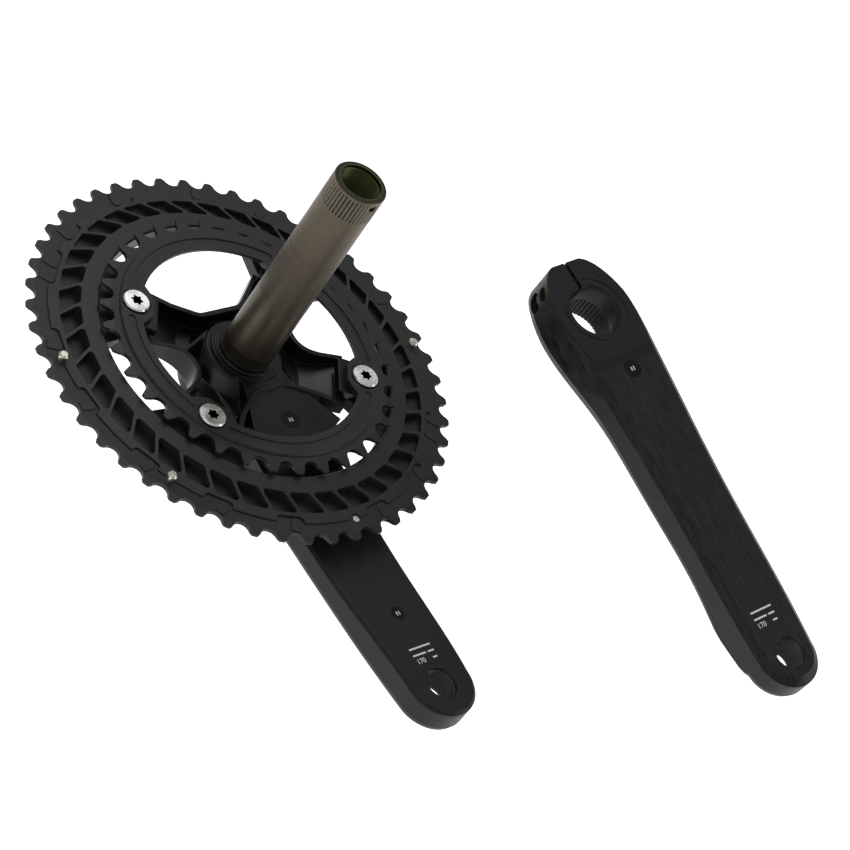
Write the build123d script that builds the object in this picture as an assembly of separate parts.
from build123d import *
from math import cos, radians, sin, pi
import os

# Bicycle crankset, millimetres.  +Z runs up the spindle towards the left arm,
# the origin is the middle of the bottom bracket, the right arm points along +X.

os.makedirs("parts", exist_ok=True)

# ---- driving dimensions -------------------------------------------------------
CRANK_LENGTH = 170.0
CHAIN_PITCH = 12.7
ROLLER_RADIUS = 3.95
OUTER_TEETH = 50
INNER_TEETH = 34
BOLT_CIRCLE_RADIUS = 55.0
BOLT_ANGLES = (55.5, 126.0, 234.0, 304.5)
SPINDLE_RADIUS = 12.0
SPINDLE_FOOT_RADIUS = 12.3
SPINDLE_END_Z = 66.0
OUTER_RING_Z = -47.6
RING_SPACING = 7.4
PEDAL_HOLE_RADIUS = 7.14
RUNNING_GAP = 0.05

# heights above the outer ring's middle plane
SPIDER_TOP = 3.0
SPIDER_SKIN = -10.0
TAB_TOP = 6.6
BOLT_SEAT = 8.4
HUB_FACE = 2.4
HUB_COLLAR = HUB_FACE + 1.2

# the left arm lies loose beside the spindle: where its bore mouth is, and its tilt
LEFT_ARM_PLACE = Pos(69.1, 110.6, 36.6) * Rot(8.0, 5.5, 0.55)
LEFT_HUB_DEPTH = 22.0
PINCH_X = -17.0
PINCH_SIDES = {"lower": (-12.8, 180.0), "upper": (-5.2, 0.0)}
SLOT_WIDTH = 1.8
SPLINE_COUNT = 44
SPLINE_DEPTH = 0.6


def ring_level(height):
    """Turn a height above the outer ring into a height in the part's frame."""
    return Pos(0, 0, OUTER_RING_Z + height)


def polar(radius, degrees):
    return radius * cos(radians(degrees)), radius * sin(radians(degrees))


def prism(outline, bottom, top):
    """Extrude a flat outline between two heights above the outer ring."""
    return ring_level(bottom) * extrude(outline, amount=top - bottom)


def disc(radius, bottom, top, degrees=0.0, distance=0.0):
    x, y = polar(distance, degrees)
    return prism(Pos(x, y) * Circle(radius), bottom, top)


def turned(points):
    """Revolve a radius and height outline about the spindle axis."""
    outline = Plane.XZ * make_face(Polyline(*points, close=True))
    return ring_level(0) * revolve(outline, Axis.Z)


def common(first, second):
    """The volume two shapes share, in however many pieces it comes."""
    return Part() + list((first & second).solids())


def save(shape, name):
    solids = shape.solids()
    result = solids[0] if len(solids) == 1 else Compound(children=list(solids))
    export_step(result, "parts/" + name + ".step")


# ---- toothed rings --------------------------------------------------------------
def pitch_radius(teeth):
    return CHAIN_PITCH / (2 * sin(pi / teeth))


def toothed_outline(teeth, tip_height=0.7, flare=6.1):
    """A disc with one rounded chain gap per tooth; a gap faces the right arm."""
    pitch = pitch_radius(teeth)
    tip = pitch + tip_height
    throat = pitch - 0.8
    gap = Pos(pitch, 0) * Circle(ROLLER_RADIUS)
    corners = [(throat, 3.85), (tip + 1, flare), (tip + 1, -flare), (throat, -3.85)]
    gap += make_face(Polyline(*corners, close=True))
    gaps = [Rot(0, 0, 360 * n / teeth) * gap for n in range(teeth)]
    return Circle(tip) - gaps


def tapered_teeth(teeth, half_thickness, middle):
    """The room that teeth of this ring may fill: thin at the tips."""
    root = pitch_radius(teeth) - 2.5
    tip = root + 6.0
    low = middle - half_thickness
    high = middle + half_thickness
    return turned([(0, low), (root, low), (tip, middle - 0.35), (tip, middle + 0.35), (root, high), (0, high)])


TOOTH_PLATE_INNER = 88.0


def outer_chainring():
    ring = prism(toothed_outline(OUTER_TEETH) - Circle(TOOTH_PLATE_INNER), -1.0, 1.0)
    ring &= tapered_teeth(OUTER_TEETH, 1.0, 0.0)
    for angle in SHIFT_PIN_ANGLES:
        ring -= disc(SHIFT_PIN_RADIUS, -2, 2, angle, PIN_CIRCLE)
    ring -= disc(CATCH_PIN_RADIUS, -2, 2, CATCH_PIN_ANGLE, PIN_CIRCLE)
    return ring


# ---- ribbed carrier that the outer tooth plate sits in ----------------------------
CARRIER_INNER = 69.8
CARRIER_OUTER = 92.2
POCKET_COUNT = 40
POCKET_INNER = 78.2
POCKET_OUTER = 87.4
POCKET_LEAN = 4.5
RIB_WIDTH = 1.8
SHIFT_PIN_ANGLES = (-101.0, -57.0, 79.5)
SHIFT_PIN_RADIUS = 2.3
CATCH_PIN_ANGLE = -1.0
CATCH_PIN_RADIUS = 1.5
PIN_CIRCLE = 92.6
NARROW_RAMPS = (-174, -150, -107, -87, -65, -43, -22, 8, 29, 95, 117, 138, 158)
WIDE_RAMPS = (-134, 48)


def carrier_tab(angle, inner, half_inner, half_outer):
    """The tongue that runs in from a ring to one chainring bolt."""
    points = [(inner, half_inner), (66, half_outer), (73, half_outer)]
    mirrored = [(x, -y) for x, y in reversed(points)]
    return Rot(0, 0, angle) * make_face(Polyline(*points, *mirrored, close=True))


def carrier_pocket():
    half_pitch = 180 / POCKET_COUNT
    inner_half = half_pitch - RIB_WIDTH / 2 / radians(POCKET_INNER)
    outer_half = half_pitch - RIB_WIDTH / 2 / radians(POCKET_OUTER)
    corners = [
        polar(POCKET_INNER, -inner_half),
        polar(POCKET_OUTER, POCKET_LEAN - outer_half),
        polar(POCKET_OUTER, POCKET_LEAN + outer_half),
        polar(POCKET_INNER, inner_half),
    ]
    outline = make_face(Polyline(*corners, close=True))
    return fillet(outline.vertices(), 1.3)


def carrier_body():
    """The ring's own section: a shallow cone with a step for the tooth plate."""
    return turned([
        (CARRIER_INNER, -3.4), (84, -3.4), (TOOTH_PLATE_INNER, -2.2), (TOOTH_PLATE_INNER, 1.0),
        (CARRIER_OUTER, 1.0), (CARRIER_OUTER, 1.6), (POCKET_OUTER, 2.0), (POCKET_INNER, 4.3),
        (CARRIER_INNER + 0.8, 4.9), (CARRIER_INNER, 4.3),
    ])


def ramp_notch(angle, half_angle):
    """A bay in the carrier's rim that leaves the shift ramps of the tooth plate open."""
    width = 2 * radians(half_angle) * 91
    return Rot(0, 0, angle) * (Pos(94, 0) * RectangleRounded(10, width, 2.4))


def outer_ring_carrier():
    body = carrier_body()
    for angle in BOLT_ANGLES:
        body += prism(carrier_tab(angle, 48.4, 9.5, 24.0), -2.6, SPIDER_TOP)
        body -= disc(INSERT_RADIUS, -4, 5, angle, BOLT_CIRCLE_RADIUS)
    pockets = [Rot(0, 0, 360 * n / POCKET_COUNT) * carrier_pocket() for n in range(POCKET_COUNT)]
    body -= prism(Sketch() + pockets, -1.2, 6)
    notches = [ramp_notch(angle, 4.3) for angle in NARROW_RAMPS]
    notches += [ramp_notch(angle, 7.0) for angle in WIDE_RAMPS]
    body -= prism(Sketch() + notches, 1.0, 6)
    for angle in SHIFT_PIN_ANGLES:
        body -= disc(SHIFT_PIN_RADIUS, 0, 6, angle, PIN_CIRCLE)
    body -= disc(CATCH_PIN_RADIUS + 1, 1.0, 6, CATCH_PIN_ANGLE, PIN_CIRCLE)
    return body


INSERT_RADIUS = 5.2
BOLT_SHANK_RADIUS = 4.0


def ring_insert(angle):
    """Threaded bush in the carrier that one chainring bolt screws into."""
    bush = disc(INSERT_RADIUS, -2.6, SPIDER_TOP, angle, BOLT_CIRCLE_RADIUS)
    return bush - disc(BOLT_SHANK_RADIUS, -5, 5, angle, BOLT_CIRCLE_RADIUS)


# ---- inner chainring ----------------------------------------------------------
INNER_RING_HOLE = 52.4
BAND_OUTER = 62.4
BAND_UNDERSIDE = 7.9


def band_groove(start, stop):
    """A long shallow groove with round ends between two bolts."""
    middle = (start + stop) / 2
    spine = CenterArc((0, 0), 57.2, start, stop - start)
    groove = trace(spine, 3.4)
    for angle in (start, stop):
        groove += Pos(*polar(57.2, angle)) * Circle(1.7)
    return groove


def inner_ring_eye(angle):
    points = [(46.5, 4.5), (48.5, 8.0), (53.5, 14.0), (56.0, 14.0)]
    mirrored = [(x, -y) for x, y in reversed(points)]
    return Rot(0, 0, angle) * make_face(Polyline(*points, *mirrored, close=True))


def inner_chainring():
    middle = RING_SPACING
    teeth = prism(toothed_outline(INNER_TEETH, tip_height=2.2) - Circle(BAND_OUTER - 0.5), middle - 1, middle + 1)
    teeth &= tapered_teeth(INNER_TEETH, 1.0, middle)
    band = turned([
        (INNER_RING_HOLE, BAND_UNDERSIDE), (57, BAND_UNDERSIDE), (58.5, TAB_TOP), (BAND_OUTER, TAB_TOP),
        (BAND_OUTER, 8.9), (BAND_OUTER - 0.7, 9.5), (INNER_RING_HOLE, 9.5),
    ])
    ring = teeth + band
    for angle in BOLT_ANGLES:
        ring += prism(inner_ring_eye(angle), TAB_TOP, 9.5)
    for start, stop in zip(BOLT_ANGLES, BOLT_ANGLES[1:] + (BOLT_ANGLES[0] + 360,)):
        ring -= prism(band_groove(start + 10, stop - 10), 8.9, 10)
    for angle in BOLT_ANGLES:
        ring -= disc(7.0, BOLT_SEAT, 10, angle, BOLT_CIRCLE_RADIUS)
        ring -= disc(BOLT_SHANK_RADIUS + 0.3, 0, 12, angle, BOLT_CIRCLE_RADIUS)
    return ring


# ---- chainring bolts and pins ----------------------------------------------------
BOLT_HEAD_RADIUS = 6.2
BOLT_HEAD_TOP = 10.8


def six_lobe(radius):
    """Outline of a six-lobe driver socket."""
    outline = Circle(radius * 0.74)
    for n in range(6):
        outline += Pos(*polar(radius * 0.78, 60 * n)) * Circle(radius * 0.22)
    return outline


def chainring_bolt(angle):
    head = disc(BOLT_HEAD_RADIUS, BOLT_SEAT, BOLT_HEAD_TOP)
    head = chamfer(head.edges().sort_by(Axis.Z)[-1], 0.6)
    bolt = head + disc(BOLT_SHANK_RADIUS - RUNNING_GAP, -3.2, BOLT_SEAT)
    bolt -= prism(six_lobe(2.8), BOLT_SEAT - 2.4, BOLT_HEAD_TOP + 1)
    return Pos(*polar(BOLT_CIRCLE_RADIUS, angle)) * Rot(0, 0, angle) * bolt


def shift_pin(angle):
    """Chain lifting pin: round foot in the plate, flat-sided steel head."""
    pin = disc(SHIFT_PIN_RADIUS, -1.0, 5.0)
    pin = chamfer(pin.edges().sort_by(Axis.Z)[-1], 0.8)
    return Rot(0, 0, angle) * Pos(PIN_CIRCLE, 0) * pin


def catch_pin():
    """Pin that keeps a dropped chain out of the gap beside the right arm."""
    pin = disc(CATCH_PIN_RADIUS, -6.5, 1.5)
    pin = chamfer(pin.edges().sort_by(Axis.Z)[0], 0.4)
    return Rot(0, 0, CATCH_PIN_ANGLE) * Pos(PIN_CIRCLE, 0) * pin


# ---- arms -------------------------------------------------------------------------
def arm_section(x, half_width, inner, outer, bevel, tuck):
    """Cross-section: bevelled along the inner face, tucked in towards the outer one."""
    points = [
        (half_width - bevel, inner),
        (half_width, inner - 0.8 * bevel),
        (half_width, outer + 1.2 * tuck),
        (half_width - 0.3 * tuck, outer + 0.35 * tuck),
        (half_width - tuck, outer),
    ]
    mirrored = [(-y, z) for y, z in reversed(points)]
    place = Plane(origin=(x, 0, 0), x_dir=(0, 1, 0), z_dir=(1, 0, 0))
    return place * make_face(Polyline(*points, *mirrored, close=True))


def lofted_arm(sections):
    return loft([arm_section(*section) for section in sections])


def pedal_boss(x, radius, inner, outer, bevel, tuck):
    """Round end of an arm, with the arm's own bevels carried round it."""
    outline = [
        (0, inner), (radius - bevel, inner), (radius, inner - 0.8 * bevel), (radius, outer + 1.2 * tuck),
        (radius - 0.3 * tuck, outer + 0.35 * tuck), (radius - tuck, outer), (0, outer),
    ]
    return Pos(x, 0, 0) * revolve(Plane.XZ * make_face(Polyline(*outline, close=True)), Axis.Z)


def pedal_hole(inner, outer):
    """The tapped pedal hole with a countersunk mouth on the inner face."""
    length = inner - outer + 12
    hole = Pos(CRANK_LENGTH, 0, (inner + outer) / 2) * Cylinder(PEDAL_HOLE_RADIUS, length)
    mouth = Pos(CRANK_LENGTH, 0, inner - 0.4) * Cone(PEDAL_HOLE_RADIUS, PEDAL_HOLE_RADIUS + 0.8, 0.8)
    return hole + mouth


# ---- right arm with its four-arm spider ---------------------------------------------
ARM_HALF_WIDTH = 13.2
SLIM_HALF_WIDTH = 11.8
ARM_REACH = 47.6
WALL = 2.2
REAR_CROTCH_X = -23.8
RIGHT_PEDAL_INNER = OUTER_RING_Z - 13.3
RIGHT_PEDAL_OUTER = OUTER_RING_Z - 27.0
RIGHT_END_RADIUS = 17.4
RIGHT_END_X = CRANK_LENGTH - 1.2


def spider_arm(angle, left=ARM_HALF_WIDTH, flare=2.2):
    """One tapering arm; `left` is its half width on the anticlockwise side."""
    right = ARM_HALF_WIDTH
    points = [(0, left), (36, left), (ARM_REACH, left + flare), (ARM_REACH, -right - 2.2), (36, -right), (0, -right)]
    return Rot(0, 0, angle) * make_face(Polyline(*points, close=True))


def spider_outline():
    """Four arms with rounded crotches; the right-hand crotch is filled by the web."""
    outline = Circle(22) + Pos(REAR_CROTCH_X / 2, 0) * Rectangle(-REAR_CROTCH_X, 27)
    for number, angle in enumerate(BOLT_ANGLES, start=1):
        outline += spider_arm(angle, SLIM_HALF_WIDTH, 0.4) if number == 2 else spider_arm(angle)
    inner_corners = [v for v in outline.vertices() if Vector(v.X, v.Y).length < 31]
    for corner in inner_corners:
        radius = 6 if corner.X < -10 else 10
        matches = outline.vertices().sort_by_distance((corner.X, corner.Y, 0))
        outline = fillet(matches[0], radius)
    return outline


def web_outline():
    """The closed web between the two spider arms beside the right crank arm."""
    points = [(8, 13), (17, 12.5), (36, 21), (44.5, 25), (48, 18), (49.6, 8)]
    mirrored = [(x, -y) for x, y in reversed(points)]
    return make_face(Polyline(*points, *mirrored, close=True))


def spider_tab(angle):
    """Flat lug at the end of a spider arm, between the two rings."""
    lug = Pos(49, 0) * Rectangle(11, 20) + Pos(BOLT_CIRCLE_RADIUS - 1.5, 0) * Circle(8.2)
    return prism(Rot(0, 0, angle) * lug, SPIDER_TOP, TAB_TOP)


def spider_rib(side):
    """Thin wall from the hub to the crotch wall on one side."""
    rib = make_face(Polyline((-19, side * 3), (-17, side * 3), (-7.5, side * 29), (-9, side * 29), close=True))
    return prism(rib, SPIDER_SKIN + 2, SPIDER_TOP - 2.6)


def spider_space():
    """What the spider may fill: its outer face is a shallow cone up to the lugs."""
    return turned([(0, SPIDER_SKIN), (24, SPIDER_SKIN), (50, -2.0), (62, -2.0), (62, 12), (0, 12)])


def pocket_space():
    """The room above the pocket floors, which fall from the hub and rise to the lugs."""
    return turned([(16.6, 1.4), (19, 0.4), (23.5, -5.4), (30, -5.6), (47, -0.4), (47, 12), (16.6, 12)])


DRAIN_HOLE_RADIUS = 1.5


def spider():
    outline = spider_outline()
    shell = common(prism(outline, SPIDER_SKIN, SPIDER_TOP), spider_space())
    pocket = prism(offset(outline, amount=-WALL, kind=Kind.INTERSECTION), SPIDER_SKIN, SPIDER_TOP + 1)
    shell -= common(pocket, pocket_space())
    shell += common(prism(web_outline(), SPIDER_SKIN, SPIDER_TOP - 0.8), spider_space())
    shell += common(spider_rib(1) + spider_rib(-1), spider_space())
    for angle in BOLT_ANGLES:
        shell += spider_tab(angle)
    return shell


def right_crank_arm():
    beam = ring_level(0) * lofted_arm([
        (0, 22.0, -7.0, -22.0, 1.5, 2.5),
        (50, 21.6, -7.2, -22.4, 1.5, 2.5),
        (95, 20.6, -12.3, -24.4, 1.5, 2.5),
        (130, 19.3, -12.9, -26.2, 1.5, 2.5),
        (RIGHT_END_X, RIGHT_END_RADIUS, -13.3, -27.0, 1.5, 2.5),
    ])
    arm = beam + pedal_boss(RIGHT_END_X, RIGHT_END_RADIUS, RIGHT_PEDAL_INNER, RIGHT_PEDAL_OUTER, 1.5, 2.5)
    arm += spider()
    arm += turned([
        (0, -23.5), (20, -23.5), (21.7, -21.5), (21.7, -9), (18.8, 0.5), (18, HUB_FACE - 1.0), (16.7, HUB_FACE - 1.0),
        (15.6, HUB_FACE), (14.2, HUB_FACE), (14.2, HUB_COLLAR), (0, HUB_COLLAR),
    ])
    arm -= disc(SPINDLE_FOOT_RADIUS, -19, 8)
    arm -= disc(9.0, -30, -18)
    arm -= disc(DRAIN_HOLE_RADIUS, -6.9, 4, BOLT_ANGLES[0], 25)
    arm -= pedal_hole(RIGHT_PEDAL_INNER, RIGHT_PEDAL_OUTER)
    for angle in BOLT_ANGLES:
        arm -= disc(BOLT_SHANK_RADIUS + 0.3, SPIDER_TOP - 1, 12, angle, BOLT_CIRCLE_RADIUS)
    return arm


# ---- spindle ------------------------------------------------------------------------
SPINDLE_BORE = 9.6
CROSS_HOLE_Z = SPINDLE_END_Z - 3.8
CROSS_HOLE_RADIUS = 1.7
HAIRLINES = (-37.0, -4.4, 23.7)


def ring_of_ridges(radius, height, bottom, top):
    """V-shaped ridges that point inwards from a radius, all round the axis."""
    ridge = make_face(Polyline((radius - height, 0), (radius + 0.2, 0.62), (radius + 0.2, -0.62), close=True))
    ridges = [Rot(0, 0, 360 * n / SPLINE_COUNT) * ridge for n in range(SPLINE_COUNT)]
    return Pos(0, 0, bottom) * extrude(Sketch() + ridges, amount=top - bottom)


def spindle():
    foot = OUTER_RING_Z - 18.0
    shoulder = OUTER_RING_Z + HUB_COLLAR + 0.4
    length = SPINDLE_END_Z - foot
    tube = Pos(0, 0, foot + length / 2) * Cylinder(SPINDLE_RADIUS, length)
    tube = chamfer(tube.edges().filter_by(GeomType.CIRCLE).sort_by(Axis.Z)[-1], 0.6)
    tube += Pos(0, 0, (foot + shoulder) / 2) * Cylinder(SPINDLE_FOOT_RADIUS, shoulder - foot)
    tube -= Pos(0, 0, foot + length / 2) * Cylinder(SPINDLE_BORE, length + 2)
    tube -= ring_of_ridges(SPINDLE_RADIUS, SPLINE_DEPTH, SPINDLE_END_Z - 13.0, SPINDLE_END_Z - 1.4)
    tube -= Pos(SPINDLE_RADIUS, 0, CROSS_HOLE_Z) * Rot(0, 90, 0) * Cylinder(CROSS_HOLE_RADIUS, 8)
    for z in HAIRLINES:
        tube -= Pos(0, 0, z) * (Cylinder(SPINDLE_RADIUS + 1, 0.3) - Cylinder(SPINDLE_RADIUS - 0.1, 1))
    return tube


# ---- left arm and its clamp -----------------------------------------------------------
LEFT_PEDAL_INNER = -16.0
LEFT_PEDAL_OUTER = -30.6
LEFT_END_RADIUS = 16.2
LEFT_END_X = CRANK_LENGTH - 1.0
LEFT_BEVEL = 3.8
PAD_END_X = 23.5
PAD_SLOPE = LEFT_PEDAL_INNER / (CRANK_LENGTH - PAD_END_X)
CLAMP_BORE = SPINDLE_RADIUS + 0.03
SPLINED_FROM = -10.0
HEAD_SEAT = 7.0
WASHER_THICKNESS = 1.0
PINCH_HEAD_HEIGHT = 4.4
PINCH_HEAD_RADIUS = 3.8
PINCH_SHANK_RADIUS = 3.0
STOPPER_PIVOT = (-20.4, -19.2)


def left_inner_face(x):
    """The arm's inner face: a slope that the flat clamp pad cuts off."""
    return PAD_SLOPE * (x - PAD_END_X)


def left_beam():
    """Half width, outer height and outer tuck along the whole arm."""
    stations = [
        (-25.5, 8.0, -22.0, 3.0), (-22, 13.2, -22.0, 4.0), (-15, 17.4, -22.0, 5.0), (-5, 20.4, -22.0, 5.0),
        (8, 21.6, -22.0, 5.0), (20, 21.2, -21.6, 5.0), (45, 19.8, -20.2, 4.5), (72, 18.2, -22.2, 3.0),
        (95, 17.4, -24.5, 2.6), (130, 17.3, -28.4, 2.6), (LEFT_END_X, LEFT_END_RADIUS, LEFT_PEDAL_OUTER, 2.6),
    ]
    return lofted_arm([(x, half, left_inner_face(x), outer, LEFT_BEVEL, tuck) for x, half, outer, tuck in stations])


def pinch_place(side):
    """Frame of one pinch bolt: its local Z points out through the head."""
    height, turn = PINCH_SIDES[side]
    return Pos(PINCH_X, 0, height) * Rot(-90 + turn, 0, 0)


def pinch_hole(side):
    hole = Pos(0, 0, 3) * Cylinder(PINCH_SHANK_RADIUS + 0.3, 16)
    hole += Pos(0, 0, HEAD_SEAT + 10) * Cylinder(PINCH_HEAD_RADIUS + 0.5, 20)
    hole += Pos(0, 0, -15) * Cylinder(PINCH_SHANK_RADIUS, 30)
    return pinch_place(side) * hole


def pinch_washer(side):
    ring = Cylinder(PINCH_HEAD_RADIUS + 0.2, WASHER_THICKNESS) - Cylinder(PINCH_SHANK_RADIUS + 0.1, 3)
    return pinch_place(side) * Pos(0, 0, HEAD_SEAT + WASHER_THICKNESS / 2) * ring


def pinch_bolt(side):
    seat = HEAD_SEAT + WASHER_THICKNESS
    head = Pos(0, 0, seat + PINCH_HEAD_HEIGHT / 2) * Cylinder(PINCH_HEAD_RADIUS, PINCH_HEAD_HEIGHT)
    head = chamfer(head.edges().filter_by(GeomType.CIRCLE).sort_by(Axis.Z)[-1], 0.4)
    socket = Pos(0, 0, seat + 1.6) * extrude(RegularPolygon(2.6, 6), amount=4)
    shank_length = seat + 13.0
    shank = Pos(0, 0, seat - shank_length / 2) * Cylinder(PINCH_SHANK_RADIUS - RUNNING_GAP, shank_length)
    return pinch_place(side) * (head - socket + shank)


def stopper_plate():
    """Thin lever in the clamp slot, outboard of the pinch bolts."""
    x, z = STOPPER_PIVOT
    points = [(x - 2.8, z + 2), (x + 7.6, z + 2), (x + 7.6, z + 0.6), (x + 2.9, z - 2.2), (x - 2.8, z - 2.2)]
    outline = make_face(Polyline(*points, close=True))
    outline -= Pos(x, z) * Circle(1.0 + RUNNING_GAP)
    return Pos(0, 0.7, 0) * extrude(Plane.XZ * outline, amount=1.4)


def stopper_pin():
    x, z = STOPPER_PIVOT
    return Pos(x, 0, z) * Rot(90, 0, 0) * Cylinder(1.0, 10)


def clamp_bore():
    """Plain bore under the pad, splined through its outer half."""
    depth = LEFT_HUB_DEPTH + 2
    bore = Pos(0, 0, -depth / 2) * Cylinder(CLAMP_BORE, depth + 4)
    bore += Pos(0, 0, -0.5) * Cone(CLAMP_BORE, CLAMP_BORE + 1.0, 1.0)
    root = CLAMP_BORE + SPLINE_DEPTH
    splined = Pos(0, 0, (SPLINED_FROM - depth) / 2) * Cylinder(root, depth + SPLINED_FROM)
    splined -= ring_of_ridges(root, SPLINE_DEPTH - 0.02, -depth, SPLINED_FROM)
    return bore + splined


def left_crank_arm():
    arm = left_beam() + pedal_boss(LEFT_END_X, LEFT_END_RADIUS, LEFT_PEDAL_INNER, LEFT_PEDAL_OUTER, LEFT_BEVEL, 2.6)
    arm -= Pos(0, 0, 10) * Box(100, 60, 20)
    arm -= Pos(CRANK_LENGTH, 0, LEFT_PEDAL_OUTER - 10) * Box(100, 60, 20)
    arm -= clamp_bore()
    arm -= Pos(0, 0, -0.1) * (Cylinder(16.4, 0.6) - Cylinder(15.2, 2))
    arm -= Pos(-20, 0, -LEFT_HUB_DEPTH / 2) * Box(20, SLOT_WIDTH, LEFT_HUB_DEPTH + 4)
    arm -= pedal_hole(LEFT_PEDAL_INNER, LEFT_PEDAL_OUTER)
    arm -= stopper_pin()
    for side in PINCH_SIDES:
        arm -= pinch_hole(side)
    return arm


# ---- write every sub-part ---------------------------------------------------------------
save(right_crank_arm(), "right_crank_arm")
save(spindle(), "spindle")
save(outer_chainring(), "outer_chainring")
save(outer_ring_carrier(), "outer_ring_carrier")
save(inner_chainring(), "inner_chainring")
for number, bolt_angle in enumerate(BOLT_ANGLES, start=1):
    save(chainring_bolt(bolt_angle), "chainring_bolt_%d" % number)
    save(ring_insert(bolt_angle), "ring_insert_%d" % number)
for number, pin_angle in enumerate(SHIFT_PIN_ANGLES, start=1):
    save(shift_pin(pin_angle), "shift_pin_%d" % number)
save(catch_pin(), "catch_pin")
save(LEFT_ARM_PLACE * left_crank_arm(), "left_crank_arm")
save(LEFT_ARM_PLACE * stopper_plate(), "stopper_plate")
save(LEFT_ARM_PLACE * stopper_pin(), "stopper_pin")
for clamp_side in PINCH_SIDES:
    save(LEFT_ARM_PLACE * pinch_bolt(clamp_side), "pinch_bolt_" + clamp_side)
    save(LEFT_ARM_PLACE * pinch_washer(clamp_side), "pinch_washer_" + clamp_side)
